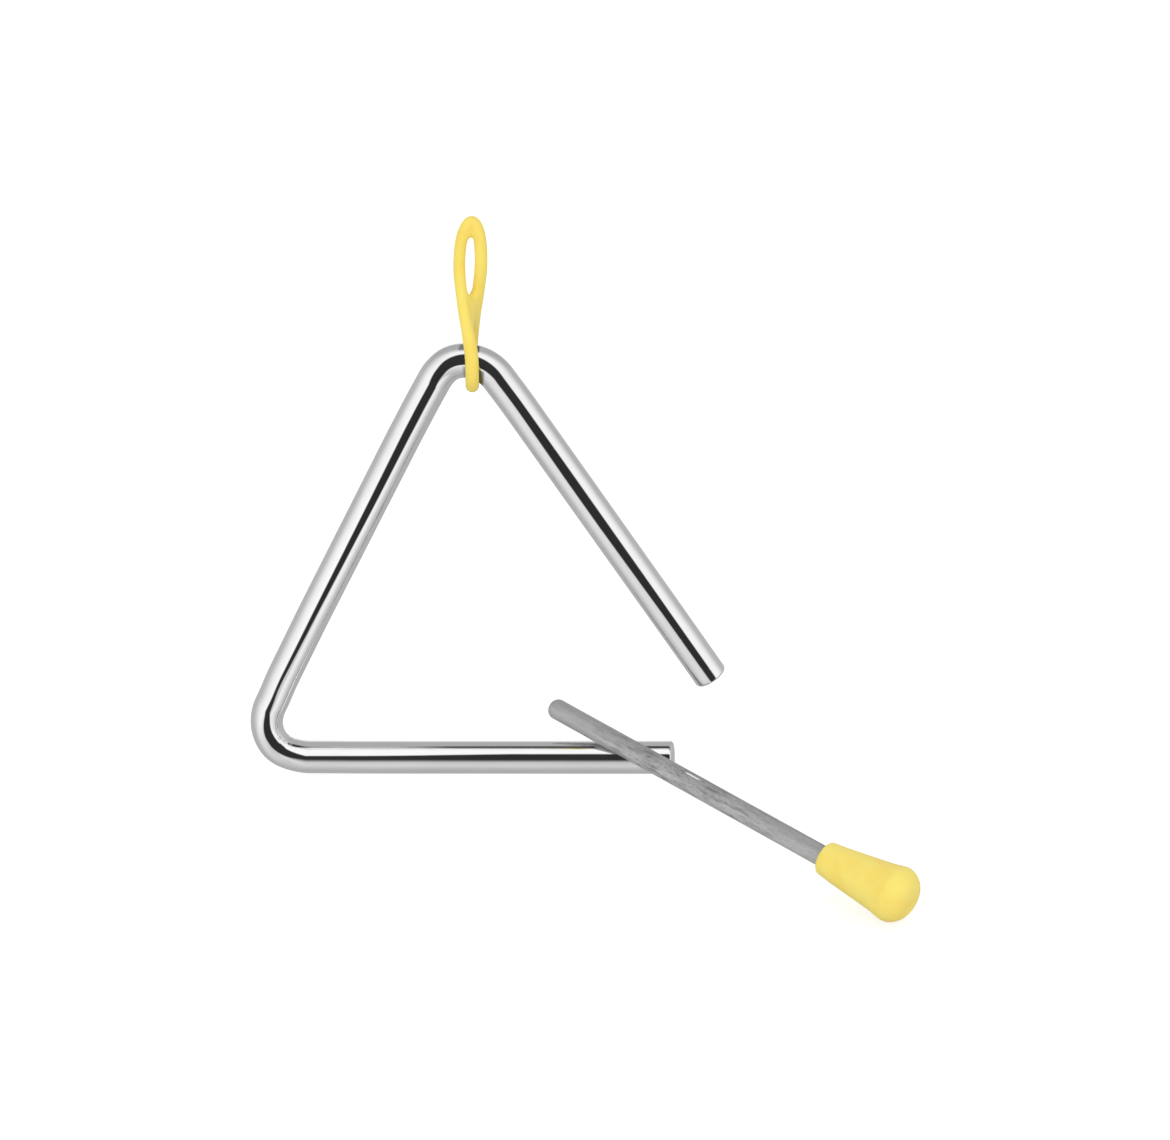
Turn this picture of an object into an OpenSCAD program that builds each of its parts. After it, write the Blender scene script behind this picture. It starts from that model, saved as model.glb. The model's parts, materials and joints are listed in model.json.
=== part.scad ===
// A bent bar triangle hanging by its loop, with its striker laid across the lower side.
// Lengths are in millimetres and angles in degrees. The origin is the point inside the
// top of the loop where a hook or a finger carries it, +Z is up, and the bar lies in
// the XZ plane.

/* [Bar] */
// Diameter of the bar
bar_d = 8; // [6:0.25:11]
// Closed side, from corner to corner of the centre lines
side_len = 130; // [100:1:200]
// Upper free side, from its corner of the centre lines to its cut
upper_len = 105.2; // [80:0.2:125]
// Lower free side, from its corner of the centre lines to its cut
lower_len = 107; // [80:0.2:125]
// Inside angle of both bends
corner_angle = 60; // [56:0.5:64]
// Radius of the centre line round the upper bend
upper_bend_r = 9; // [7:0.25:15]
// Radius of the centre line round the lower bend
lower_bend_r = 10; // [7:0.25:15]
// Rounding of the rim of both cuts
cut_round = 0.8; // [0.1:0.05:1]

/* [Loop] */
// Diameter of the cord
cord_d = 2.7; // [2:0.1:3.5]
// Slack round the bar inside the loop's lower turn, on the radius
loop_slack = 1; // [0.6:0.05:2]
// Height of the quarter twist, from the lower turn to the widest part of the eye
twist_h = 24; // [18:0.5:40]
// Height of the eye, from its widest part to the centre of its top turn
eye_h = 7.6; // [6:0.2:20]
// Opening of the eye at its widest
eye_gap = 2.2; // [1:0.1:6]
// Opening of the top turn, where the cord is pinched together
top_gap = 0.3; // [0.2:0.05:0.8]
// Share of the tightest even sway that the cord takes in the twist
sway_share = 0.6; // [0.3:0.05:0.95]
// Turn of the loop about the vertical, on the bar
loop_turn = 8.5; // [-10:0.5:10]
// Place of the loop on the upper bend, past the highest point
loop_side = 1.2; // [0:0.1:2]

/* [Striker rod] */
// Diameter of the rod
rod_d = 5; // [4.25:0.25:6]
// Length of the rod from its tip to the mouth of the grip
rod_out = 83.2; // [60:0.2:140]
// Length of the rod inside the grip
rod_in = 17; // [10:0.5:18]
// Rounding of the tip
tip_round = 2; // [0.5:0.1:2]

/* [Striker grip] */
// Length of the grip
grip_len = 24; // [21:0.5:40]
// Diameter at the mouth, where the side would meet it
mouth_d = 8.2; // [7.2:0.1:10]
// Diameter at the far end, where the side would meet it
end_d = 13; // [11:0.1:16]
// Rounding of the rim round the mouth
mouth_round = 1; // [0.3:0.1:1]
// Rounding of the far end
end_round = 4; // [1:0.1:5]

/* [Rest] */
// Tilt of the hanging bar in its own plane, with the open corner up
hang_tilt = 4.25; // [0:0.1:8]
// Place where the rod crosses the lower side, from the cut
cross_in = 14.6; // [8:0.2:30]
// Length of the rod from that crossing back to its tip
tip_past = 18.6; // [12:0.2:30]
// Heading of the striker in plan, from +X
striker_turn = -32; // [-50:1:-20]
// Downward slope of the striker towards its grip
striker_slope = 8; // [5:0.5:15]
// Space left between two pieces that bear on each other
seat_gap = 0.3; // [0.2:0.05:0.4]

/* [Hidden] */
$fn = 64;
// A ball this much over the radius closes each join between two stretches of bar or cord
join_fill = 0.01;

bar_r = bar_d / 2;
cord_r = cord_d / 2;
rod_r = rod_d / 2;

// The bar, drawn in its own plane round the centre of its upper bend
turn = 180 - corner_angle;
upper_corner = upper_bend_r / tan(corner_angle / 2);
lower_corner = lower_bend_r / tan(corner_angle / 2);
side_run = side_len - upper_corner - lower_corner;
upper_run = upper_len - upper_corner;
lower_run = lower_len - lower_corner;
side_dir = 180 + turn / 2;
lower_dir = side_dir + turn;
low_centre = side_run * polar(1, side_dir)
             + (upper_bend_r - lower_bend_r) * polar(1, side_dir - 90);

// The loop, above the centre of its lower turn
low_turn_r = bar_r + loop_slack + cord_r;
eye_r = (cord_d + eye_gap) / 2;
top_turn_r = (cord_d + top_gap) / 2;
// Each side of the eye bends evenly from its widest part into the top turn
eye_side_r = (eye_h * eye_h + eye_r * eye_r - top_turn_r * top_turn_r)
             / (2 * (eye_r - top_turn_r));
eye_lean = asin(eye_h / (eye_side_r - top_turn_r));
loop_z = cord_r - twist_h - eye_h - top_turn_r;
// The bar bears on the loop a little past its highest point, where it is this much lower
inner_r = upper_bend_r - bar_r;
side_drop = inner_r - sqrt(inner_r * inner_r - loop_side * loop_side);
bend_at = [-loop_side, loop_z - loop_slack + seat_gap + side_drop - upper_bend_r];

// Where the striker's axis passes over the lower side
lower_way = place(polar(1, lower_dir)) - place([0, 0]);
striker_way = [cos(striker_slope) * cos(striker_turn), cos(striker_slope) * sin(striker_turn),
               -sin(striker_slope)];
over = cross(striker_way, lower_way);
cross_at = place(low_centre + lower_bend_r * polar(1, lower_dir - 90)
                 + (lower_run - cross_in) * polar(1, lower_dir))
           + (bar_r + rod_r + seat_gap) * over / norm(over);

function polar(r, a) = [r * cos(a), r * sin(a)];

// A point of the bar's plane, in the part's frame
function place(p) = [p[0] * cos(hang_tilt) - p[1] * sin(hang_tilt) + bend_at[0], 0,
                     p[0] * sin(hang_tilt) + p[1] * cos(hang_tilt) + bend_at[1]];

// Half the outline of a round rod that ends at height len with a rounded rim
module rod_outline(r, len, rim) {
    square([r - rim, len]);
    square([r, len - rim]);
    translate([r - rim, len - rim]) intersection() {
        circle(r = rim);
        square(rim);
    }
}

module bar_straight(len) {
    cylinder(h = len, r = bar_r);
}

module bar_cut(len) {
    rotate_extrude() rod_outline(bar_r, len, cut_round);
}

// One bend of the bar, which starts on +X of its centre and turns towards +Y
module bar_bend(r) {
    rotate_extrude(angle = turn) translate([r, 0]) circle(r = bar_r);
    for (a = [0, turn]) translate(polar(r, a)) sphere(r = bar_r + join_fill);
}

module bar_in_plane() {
    rotate([0, 0, 90 - turn / 2]) {
        bar_bend(upper_bend_r);
        translate([upper_bend_r, 0]) rotate([90, 0, 0]) bar_cut(upper_run);
    }
    rotate([0, 0, side_dir - 90]) translate([upper_bend_r, 0]) rotate([-90, 0, 0])
        bar_straight(side_run);
    translate(low_centre) rotate([0, 0, side_dir - 90]) {
        bar_bend(lower_bend_r);
        rotate([0, 0, turn]) translate([lower_bend_r, 0]) rotate([-90, 0, 0]) bar_cut(lower_run);
    }
}

module triangle_bar() {
    color([0.75, 0.76, 0.78]) translate(place([0, 0])) rotate([0, -hang_tilt, 0])
        rotate([90, 0, 0]) bar_in_plane();
}

// A stretch of cord that sets off upwards and bends through angle a towards +X
module cord_arc(r, a) {
    translate([r, 0]) rotate([90, 0, 180]) rotate_extrude(angle = a) translate([r, 0])
        circle(r = cord_r);
}

module cord_join() {
    sphere(r = cord_r + join_fill);
}

// Carries the cord sideways by w over height h, upright at both ends: an arc, a straight
// stretch and the same arc back. Two arcs alone would fill the height at the widest radius.
module cord_sway(w, h) {
    r = sway_share * (w * w + h * h) / (4 * w);
    run = sqrt((w - 2 * r) * (w - 2 * r) + h * h - 4 * r * r);
    a = atan2(w - 2 * r, h) + atan2(2 * r, run);
    cord_arc(r, a);
    translate([r - r * cos(a), 0, r * sin(a)]) {
        cord_join();
        rotate([0, a, 0]) cylinder(h = run, r = cord_r);
    }
    translate([w, 0, h]) rotate([180, 0, 180]) {
        cord_arc(r, a);
        translate([r - r * cos(a), 0, r * sin(a)]) cord_join();
    }
}

// Half of the twist and of the eye: from the front of the bar up the eye's left side
module loop_arm() {
    translate([0, -low_turn_r]) {
        cord_join();
        rotate([0, 0, atan2(low_turn_r, -eye_r)])
            cord_sway(norm([low_turn_r, eye_r]), twist_h);
    }
    translate([-eye_r, 0, twist_h]) {
        cord_join();
        cord_arc(eye_side_r, eye_lean);
    }
    translate([0, 0, twist_h + eye_h]) rotate([0, eye_lean, 0]) translate([-top_turn_r, 0])
        cord_join();
}

module hanging_loop() {
    color([0.97, 0.87, 0.42]) translate([0, 0, loop_z]) rotate([0, 0, loop_turn]) {
        translate([0, -low_turn_r]) rotate([0, 180, -90]) cord_arc(low_turn_r, 180);
        loop_arm();
        rotate([0, 0, 180]) loop_arm();
        translate([0, 0, twist_h + eye_h]) rotate([0, eye_lean, 0]) translate([-top_turn_r, 0])
            cord_arc(top_turn_r, 180 - 2 * eye_lean);
    }
}

// Sets a striker piece, drawn upright from the tip, across the lower side
module laid_across() {
    translate(cross_at) rotate([0, 90 + striker_slope, striker_turn]) translate([0, 0, -tip_past])
        children();
}

module striker_rod() {
    color([0.62, 0.62, 0.62]) laid_across() translate([0, 0, rod_out + rod_in]) mirror([0, 0, 1])
        rotate_extrude() rod_outline(rod_r, rod_out + rod_in, tip_round);
}

// Half the outline of the grip: a rounded mouth, a tapered side and a rounded far end
module grip_outline() {
    mouth = [mouth_d / 2 - mouth_round, mouth_round];
    far = [end_d / 2 - end_round, grip_len - end_round];
    span = far - mouth;
    lean = atan2(span[0], span[1]) + asin((end_round - mouth_round) / norm(span));
    out = [cos(lean), -sin(lean)];
    translate(mouth) intersection() {
        circle(r = mouth_round);
        translate([0, -mouth_round]) square([mouth_round, 2 * mouth_round]);
    }
    translate(far) intersection() {
        circle(r = end_round);
        translate([0, -end_round]) square([end_round, 2 * end_round]);
    }
    polygon([[0, 0], [mouth[0], 0], mouth, mouth + mouth_round * out, far + end_round * out, far,
             [far[0], grip_len], [0, grip_len]]);
}

module striker_grip() {
    color([0.98, 0.89, 0.44]) laid_across() translate([0, 0, rod_out]) difference() {
        rotate_extrude() grip_outline();
        translate([0, 0, -rod_in]) cylinder(h = 2 * rod_in, r = rod_r);
    }
}

triangle_bar();
hanging_loop();
striker_rod();
striker_grip();
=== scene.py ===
"""A bent bar triangle that hangs by its loop, with its striker laid across the lower side.

Every length is in metres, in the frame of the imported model: the origin is the point
inside the top of the loop, +Z is up and the bar lies in the XZ plane.
"""

import json
import math

import bmesh
import bpy
import numpy as np
from bpy.props import FloatProperty, FloatVectorProperty, PointerProperty
from bpy.types import Operator, Panel, PropertyGroup
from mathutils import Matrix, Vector
from mathutils.kdtree import KDTree


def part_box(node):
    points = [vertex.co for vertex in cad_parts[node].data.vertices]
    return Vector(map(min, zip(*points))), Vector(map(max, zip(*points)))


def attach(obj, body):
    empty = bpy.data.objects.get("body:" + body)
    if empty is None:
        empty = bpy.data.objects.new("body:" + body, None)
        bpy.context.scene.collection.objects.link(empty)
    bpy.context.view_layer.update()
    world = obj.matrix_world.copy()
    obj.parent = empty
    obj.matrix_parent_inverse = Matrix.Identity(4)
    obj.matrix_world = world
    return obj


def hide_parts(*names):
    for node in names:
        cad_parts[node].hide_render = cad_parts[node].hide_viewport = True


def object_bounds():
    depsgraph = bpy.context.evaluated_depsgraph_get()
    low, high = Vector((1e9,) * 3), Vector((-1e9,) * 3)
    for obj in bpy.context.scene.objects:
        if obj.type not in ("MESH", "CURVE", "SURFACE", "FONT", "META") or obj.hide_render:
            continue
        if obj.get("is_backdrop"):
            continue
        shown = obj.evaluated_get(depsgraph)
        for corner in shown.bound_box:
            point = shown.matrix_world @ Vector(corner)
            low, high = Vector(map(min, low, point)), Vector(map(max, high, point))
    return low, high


bl_info = {
    "name": "Triangle on a loop",
    "version": (1, 0, 0),
    "blender": (4, 5, 0),
    "location": "View3D > Sidebar > Triangle",
    "description": "Builds a bar triangle, its loop and its striker round the packed model",
    "category": "Add Mesh",
}

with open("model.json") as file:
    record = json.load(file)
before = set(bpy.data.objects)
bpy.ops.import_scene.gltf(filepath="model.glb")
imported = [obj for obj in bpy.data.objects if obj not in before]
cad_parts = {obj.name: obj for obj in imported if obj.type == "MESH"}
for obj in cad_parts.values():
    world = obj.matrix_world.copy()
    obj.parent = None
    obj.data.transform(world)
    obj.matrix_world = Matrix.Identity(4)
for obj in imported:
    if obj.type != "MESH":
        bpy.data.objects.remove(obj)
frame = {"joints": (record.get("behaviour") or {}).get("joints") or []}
cad_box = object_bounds()
SWING = next(j for j in frame["joints"] if j["name"] == "bar_swing")
LOOP_CENTRE = Vector(SWING["pos_m"])
LOOP_TURN = math.atan2(SWING["axis"][1], SWING["axis"][0])
FLOOR_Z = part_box("striker_grip")[0].z


def length(name, about, default):
    return FloatProperty(
        name=name, description=about, default=default, unit="LENGTH", precision=5
    )


def angle(name, about, degrees):
    return FloatProperty(
        name=name, description=about, default=math.radians(degrees), subtype="ANGLE"
    )


def share(name, about, default):
    return FloatProperty(name=name, description=about, default=default, min=0, subtype="FACTOR")


def spot(name, about, default):
    return FloatVectorProperty(
        name=name,
        description=about,
        default=default,
        size=3,
        subtype="TRANSLATION",
        unit="LENGTH",
        precision=5,
    )


def colour(name, about, default):
    return FloatVectorProperty(
        name=name, description=about, default=default, size=3, min=0, max=1, subtype="COLOR"
    )


class BarSizes(PropertyGroup):
    diameter: length("Diameter", "Thickness of the round bar", 0.008)
    side: length("Closed side", "Closed side, between the corners of the centre lines", 0.130)
    upper: length("Upper free side", "From its corner of the centre lines to its cut", 0.1052)
    lower: length("Lower free side", "From its corner of the centre lines to its cut", 0.107)
    upper_bend: length("Upper bend", "Radius of the centre line round the upper bend", 0.009)
    lower_bend: length("Lower bend", "Radius of the centre line round the lower bend", 0.010)
    rim: length("Rim", "Rounding of the rim of both cuts", 0.0008)
    pucker: length("Pucker", "Depth of the small folds inside the lower bend", 0.00016)
    corner: angle("Corner", "Inside angle of both bends", 60)
    tilt: angle("Tilt", "Tilt of the hanging bar in its own plane", 4.25)
    plating: colour("Plating", "Colour of the polished plating", (0.93, 0.93, 0.93))


class LoopSizes(PropertyGroup):
    diameter: length("Cord", "Thickness of the cord", 0.0027)
    slack: length("Slack", "Room round the bar in the lower turn, on the radius", 0.001)
    seat: length("Seat", "Space left where the bar bears on the lower turn", 0.0003)
    past_top: length(
        "Past the top", "Place of the loop on the bend, past its highest point", 0.0012
    )
    twist: length("Twist", "Height of the quarter twist above the lower turn", 0.024)
    eye: length("Eye", "Height from the widest part of the eye to the middle of its top", 0.0093)
    lean: length("Lean", "Lean of the top of the eye to one side", 0.00042)
    swell: length(
        "Swell", "Swelling of the cord on its radius where it goes round the bar", 0.0002
    )
    eye_gap: length("Eye opening", "Opening of the eye at its widest", 0.0022)
    web: length("Fillet", "Radius of the fillet where two strands meet", 0.00025)
    web_thick: length("Web", "Half the thickness of the web between the strands", 0.00115)
    web_low: length("Crotch", "Height of the crotch above the lower turn", 0.0157)
    web_top: length("Top web", "Depth of the web under the top of the eye", 0.0036)
    pinch: share("Pinch", "Narrowing of the eye near its top", 0.3)
    sway: share("Sway", "Share of the tightest even sway that the cord takes", 0.6)
    vinyl: colour("Vinyl", "Colour of the soft vinyl", (0.945, 0.755, 0.152))


class StrikerSizes(PropertyGroup):
    tip: spot("Tip", "Middle of the rod's free end", (0.0170433, 0.0073280, -0.1246753))
    heading: angle("Heading", "Heading of the striker in plan, from +X", -32)
    slope: angle("Slope", "Downward slope of the striker towards its grip", 8)
    rod: length("Rod", "Thickness of the rod", 0.005)
    rod_out: length("Rod length", "Length of the rod from its tip to the grip", 0.0832)
    rod_in: length("Rod in the grip", "Length of the rod inside the grip", 0.017)
    tip_round: length("Tip rounding", "Rounding of the rod's tip", 0.002)
    grip: length("Grip length", "Length of the grip", 0.024)
    mouth: length("Mouth", "Diameter of the grip at its mouth, before rounding", 0.0082)
    end: length("End", "Diameter of the grip at its far end, before rounding", 0.013)
    mouth_round: length("Mouth rounding", "Rounding of the rim round the mouth", 0.001)
    end_round: length("End rounding", "Rounding of the grip's far end", 0.004)
    lip: length("Lip", "Flare of the grip just before its far end, on the radius", 0.00028)
    dome: length("Dome", "Height of the dome on the grip's far end", 0.00035)
    askew: share("Askew", "Slope of the grip's outer part against the rod", 0.034)
    steel: colour("Steel", "Colour of the dull zinc on the rod", (0.445, 0.445, 0.45))
    vinyl: colour("Vinyl", "Colour of the soft vinyl grip", (0.955, 0.785, 0.180))


class StageSizes(PropertyGroup):
    target: spot("Target", "Point that the camera looks at", (0.026266, 0, -0.084013))
    distance: length("Distance", "Distance from the camera to its target", 0.8)
    turn: angle("Turn", "Camera's turn to the right of straight ahead", 7.822)
    height: angle("Height", "Camera's height above the horizon", 25.489)
    lens: FloatProperty(name="Lens", description="Focal length in millimetres", default=104.48)
    floor: colour("Floor", "Colour of the floor", (0.8, 0.8, 0.8))
    fill: share("Fill", "Strength of the even light all round", 0.765)
    card: length("Card", "Distance of the dark cards from the bar", 0.0015)


def direction(turn, rise):
    """The unit vector at a turn from +X in plan and a rise above the horizon."""
    flat = math.cos(rise)
    return Vector((flat * math.cos(turn), flat * math.sin(turn), math.sin(rise)))


def toward_viewer(stage):
    """The unit vector from the object towards the camera."""
    return direction(stage.turn - math.pi / 2, stage.height)


def viewpoint(stage):
    """Where the camera stands."""
    return Vector(stage.target) + toward_viewer(stage) * stage.distance


def hump(at, place, reach):
    """A smooth hump of height 1 at a place, which fades over a reach on both sides."""
    return math.exp(-(((at - place) / reach) ** 2))


def table_at(table, place):
    """The columns of a table at a place, between its rows. The places are in its first one."""
    places, *columns = zip(*table)
    return [float(np.interp(place, places, column)) for column in columns]


# Lines that the round pieces follow


def bend_centre(bar, loop):
    """Centre of the upper bend: the bar bears on the loop a little past its highest point."""
    inner = bar.upper_bend - bar.diameter / 2
    drop = inner - math.sqrt(inner**2 - loop.past_top**2)
    down = drop + loop.seat - loop.slack - bar.upper_bend
    return Vector((-loop.past_top, 0, LOOP_CENTRE.z + down))


def way(a):
    """The unit vector at an angle from +X in the bar's plane."""
    return Vector((math.cos(a), 0, math.sin(a)))


SIDE_STEPS, BEND_STEPS = 60, 100


def bar_line(bar, centre):
    """The bar's centre line from the upper cut to the lower one: a point, the outward
    direction and the run up to it for each station."""
    turn = math.pi - bar.corner
    spread = math.tan(bar.corner / 2)
    first = math.pi / 2 - turn / 2 + bar.tilt
    second, third = first + turn, first + 2 * turn

    def straight(start, outward, run):
        along = way(outward + math.pi / 2)
        return [
            (start + along * run * k / SIDE_STEPS, way(outward)) for k in range(SIDE_STEPS)
        ]

    def bend(middle, radius, outward):
        angles = [outward + turn * k / BEND_STEPS for k in range(BEND_STEPS)]
        return [(middle + way(a) * radius, way(a)) for a in angles]

    upper = bar.upper - bar.upper_bend / spread
    side = bar.side - (bar.upper_bend + bar.lower_bend) / spread
    lower = bar.lower - bar.lower_bend / spread
    onward = way(second + math.pi / 2) * side
    low_centre = centre + onward + way(second) * (bar.upper_bend - bar.lower_bend)
    last = low_centre + way(third) * bar.lower_bend
    line = straight(
        centre + way(first) * bar.upper_bend - way(first + math.pi / 2) * upper, first, upper
    )
    line += bend(centre, bar.upper_bend, first)
    line += straight(centre + way(second) * bar.upper_bend, second, side)
    line += bend(low_centre, bar.lower_bend, second)
    line += straight(last, third, lower)
    line.append((last + way(third + math.pi / 2) * lower, way(third)))
    stations, run = [], 0.0
    for k, (point, outward) in enumerate(line):
        if k:
            run += (point - line[k - 1][0]).length
        stations.append((point + outward * uneven(run), outward, run))
    return stations


# A bar bent on a small press isn't quite true. Each row is a place along the bar and how far
# the bar lies outside the true line there.
UNEVEN = (
    (0.0000, 0.0),
    (0.0200, 0.00006),
    (0.0830, 0.00006),
    (0.0910, -0.00018),
    (0.1020, -0.00008),
    (0.1060, -0.00060),
    (0.1150, -0.00032),
    (0.1250, -0.00018),
    (0.1780, -0.00009),
    (0.1980, -0.00028),
    (0.2050, -0.00068),
    (0.2090, -0.00056),
    (0.2185, 0.00072),
    (0.2230, -0.00002),
    (0.2400, 0.00008),
    (0.3160, 0.00010),
)
EASED_OVER = np.linspace(-0.002, 0.002, 9)


def uneven(run):
    return float(np.mean(np.interp(run + EASED_OVER, *zip(*UNEVEN))))


def sway_points(wide, high, part, count):
    """Points that carry the cord sideways by wide over height high, upright at both ends."""
    r = part * (wide**2 + high**2) / (4 * wide)
    run = math.sqrt((wide - 2 * r) ** 2 + high**2 - 4 * r**2)
    a = math.atan2(wide - 2 * r, high) + math.atan2(2 * r, run)
    turns = [a * k / count for k in range(count + 1)]
    arc = [(r - r * math.cos(turn), r * math.sin(turn)) for turn in turns]
    back = [(wide - x, high - z) for x, z in reversed(arc)]
    x0, z0 = arc[-1]
    x1, z1 = back[0]
    middle = [
        (x0 + (x1 - x0) * k / count, z0 + (z1 - z0) * k / count) for k in range(1, count)
    ]
    return arc + middle + back


# The soft cord doesn't follow its line exactly. Each row is a height above the lower turn
# and how far the strand lies to the right of its line there.
FRONT_DRIFT = (
    (0.000, 0.00018),
    (0.005, 0.00018),
    (0.012, -0.00024),
    (0.019, -0.00026),
    (0.025, 0.0),
)
BACK_DRIFT = (
    (0.000, -0.00020),
    (0.006, -0.00020),
    (0.013, 0.0),
    (0.019, -0.00005),
    (0.025, 0.0),
)
TWIST_STEPS, EYE_STEPS, TURN_STEPS = 14, 40, 30


def loop_arms(loop, bar):
    """The front and the back strand of the loop in its own upright frame, from beside the
    bar over the twist and up one side of the eye to the middle of its top."""
    low = bar.diameter / 2 + loop.slack + loop.diameter / 2
    eye = (loop.diameter + loop.eye_gap) / 2
    heading = math.atan2(low, -eye)
    arm = [
        Vector((w * math.cos(heading), -low + w * math.sin(heading), z))
        for w, z in sway_points(math.hypot(low, eye), loop.twist, loop.sway, TWIST_STEPS)
    ]
    arm += [
        Vector((
            -eye * math.cos(a) * (1 - loop.pinch * math.sin(a) ** 8),
            0,
            loop.twist + loop.eye * math.sin(a),
        ))
        for a in np.linspace(0, math.pi / 2, EYE_STEPS)[1:]
    ]
    arms = []
    for sign, drift in ((1, FRONT_DRIFT), (-1, BACK_DRIFT)):
        strand = [Vector((sign * p.x, sign * p.y, p.z)) for p in arm]
        for p in strand:
            p.x += table_at(drift, p.z)[0]
            p.x += loop.lean * max(0.0, (p.z - loop.twist) / loop.eye) ** 1.5
        arms.append(strand)
    return arms


def loop_line(loop, bar):
    """The closed centre line of the loop's cord, in the loop's own upright frame."""
    front, back = loop_arms(loop, bar)
    low = bar.diameter / 2 + loop.slack + loop.diameter / 2
    middle, side = (front[0].x + back[0].x) / 2, (front[0].x - back[0].x) / 2
    under = [
        Vector((middle - side * math.cos(a), low * math.cos(a), -low * math.sin(a)))
        for a in np.linspace(0, math.pi, TURN_STEPS)[1:-1]
    ]
    return front + back[-2::-1] + under


def evened(points, spacing, passes):
    """A closed line with its points spread evenly and its corners eased."""
    p = np.array([list(q) for q in points])
    p = np.vstack([p, p[:1]])
    run = np.concatenate([[0], np.cumsum(np.linalg.norm(np.diff(p, axis=0), axis=1))])
    count = int(run[-1] / spacing)
    at = np.linspace(0, run[-1], count, endpoint=False)
    even = np.stack([np.interp(at, run, p[:, k]) for k in range(3)], axis=1)
    for _ in range(passes):
        even = (np.roll(even, 1, 0) + 2 * even + np.roll(even, -1, 0)) / 4
    return even


# Mesh makers


def linked(name, data):
    """A new object in the scene."""
    thing = bpy.data.objects.new(name, data)
    bpy.context.scene.collection.objects.link(thing)
    return thing


def make_object(name, mesh, body, node):
    """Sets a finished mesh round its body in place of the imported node."""
    piece = linked(name, mesh)
    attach(piece, body)
    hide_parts(node)
    return piece


def tube_mesh(name, rings, places, closed=False):
    """A mesh from rings of points, each ring with as many points, with where each point
    lies along and across the piece kept in the attribute 'along'. An open tube is capped."""
    sides, count = len(rings[0]), len(rings)
    points = [p for ring in rings for p in ring]
    where = [w for ring in places for w in ring]
    faces = []
    for i in range(count if closed else count - 1):
        a, b = i * sides, (i + 1) % count * sides
        for j in range(sides):
            k = (j + 1) % sides
            faces.append((a + j, a + k, b + k, b + j))
    if not closed:
        for ring, order in ((0, -1), (count - 1, 1)):
            middle = len(points)
            points.append(sum((Vector(p) for p in rings[ring]), Vector()) / sides)
            where.append((places[ring][0][0], 0, 0))
            for j in range(sides):
                k = (j + 1) % sides
                pair = (ring * sides + j, ring * sides + k)
                faces.append((*pair[::order], middle))
    mesh = bpy.data.meshes.new(name)
    mesh.from_pydata([tuple(p) for p in points], [], faces)
    mesh.polygons.foreach_set("use_smooth", [True] * len(mesh.polygons))
    kept = mesh.attributes.new("along", "FLOAT_VECTOR", "POINT")
    kept.data.foreach_set("vector", np.array(where, np.float32).ravel())
    mesh.update()
    return mesh


def turned_mesh(name, outline, start, way_on, sides):
    """A mesh turned round the line from start along way_on, from (radius, height) pairs."""
    across = way_on.cross(Vector((0, 0, 1))).normalized()
    other = across.cross(way_on).normalized()
    rings, places = [], []
    for radius, height in outline:
        ring, place = [], []
        for j in range(sides):
            a = 2 * math.pi * j / sides
            x, y = radius * math.cos(a), radius * math.sin(a)
            ring.append(start + way_on * height + across * x + other * y)
            place.append((height, x, y))
        rings.append(ring)
        places.append(place)
    return tube_mesh(name, rings, places)


def arc_outline(middle, radius, start, stop, count):
    """Points of an arc in an outline, from angle start to stop in degrees."""
    angles = [math.radians(a) for a in np.linspace(start, stop, count)]
    return [(middle[0] + radius * math.cos(a), middle[1] + radius * math.sin(a)) for a in angles]


def rim_steps(rim, count):
    """(shortening, inset) pairs that round a rim off, from its end face inwards."""
    angles = np.linspace(math.pi / 2, 0, count)
    return [(rim - rim * math.sin(a), rim - rim * math.cos(a)) for a in angles]


# Materials


def new_material(name, base, **values):
    material = bpy.data.materials.new(name)
    material.use_nodes = True
    material.diffuse_color = (*base, 1)
    tree = material.node_tree
    shader = tree.nodes["Principled BSDF"]
    shader.inputs["Base Color"].default_value = (*base, 1)
    for socket, value in values.items():
        shader.inputs[socket.replace("_", " ")].default_value = value
    return material, tree, shader


def place_node(tree, attribute):
    if attribute:
        node = tree.nodes.new("ShaderNodeAttribute")
        node.attribute_name = attribute
        return node.outputs["Vector"]
    return tree.nodes.new("ShaderNodeTexCoord").outputs["Object"]


def noise_node(tree, place, scale, detail=3.0, rough=0.55):
    """Noise at a scale of grains per metre along each axis."""
    mapping = tree.nodes.new("ShaderNodeMapping")
    mapping.inputs["Scale"].default_value = scale
    tree.links.new(place, mapping.inputs["Vector"])
    noise = tree.nodes.new("ShaderNodeTexNoise")
    noise.inputs["Scale"].default_value = 1
    noise.inputs["Detail"].default_value = detail
    noise.inputs["Roughness"].default_value = rough
    tree.links.new(mapping.outputs["Vector"], noise.inputs["Vector"])
    return noise.outputs["Fac"]


def ranged(tree, value, low, high, to_low, to_high, smooth=True):
    node = tree.nodes.new("ShaderNodeMapRange")
    node.interpolation_type = "SMOOTHSTEP" if smooth else "LINEAR"
    for socket, number in (
        ("From Min", low),
        ("From Max", high),
        ("To Min", to_low),
        ("To Max", to_high),
    ):
        node.inputs[socket].default_value = number
    tree.links.new(value, node.inputs["Value"])
    return node.outputs["Result"]


def mixed(tree, factor, first, second):
    node = tree.nodes.new("ShaderNodeMix")
    node.data_type = "RGBA"
    tree.links.new(factor, node.inputs["Factor"])
    for socket, value in ((node.inputs[6], first), (node.inputs[7], second)):
        if isinstance(value, bpy.types.NodeSocket):
            tree.links.new(value, socket)
        else:
            socket.default_value = (*value, 1)
    return node.outputs[2]


def math_node(tree, operation, *values):
    node = tree.nodes.new("ShaderNodeMath")
    node.operation = operation
    for socket, value in zip(node.inputs, values):
        if isinstance(value, bpy.types.NodeSocket):
            tree.links.new(value, socket)
        else:
            socket.default_value = value
    return node.outputs[0]


def product(tree, first, second):
    return math_node(tree, "MULTIPLY", first, second)


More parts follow.
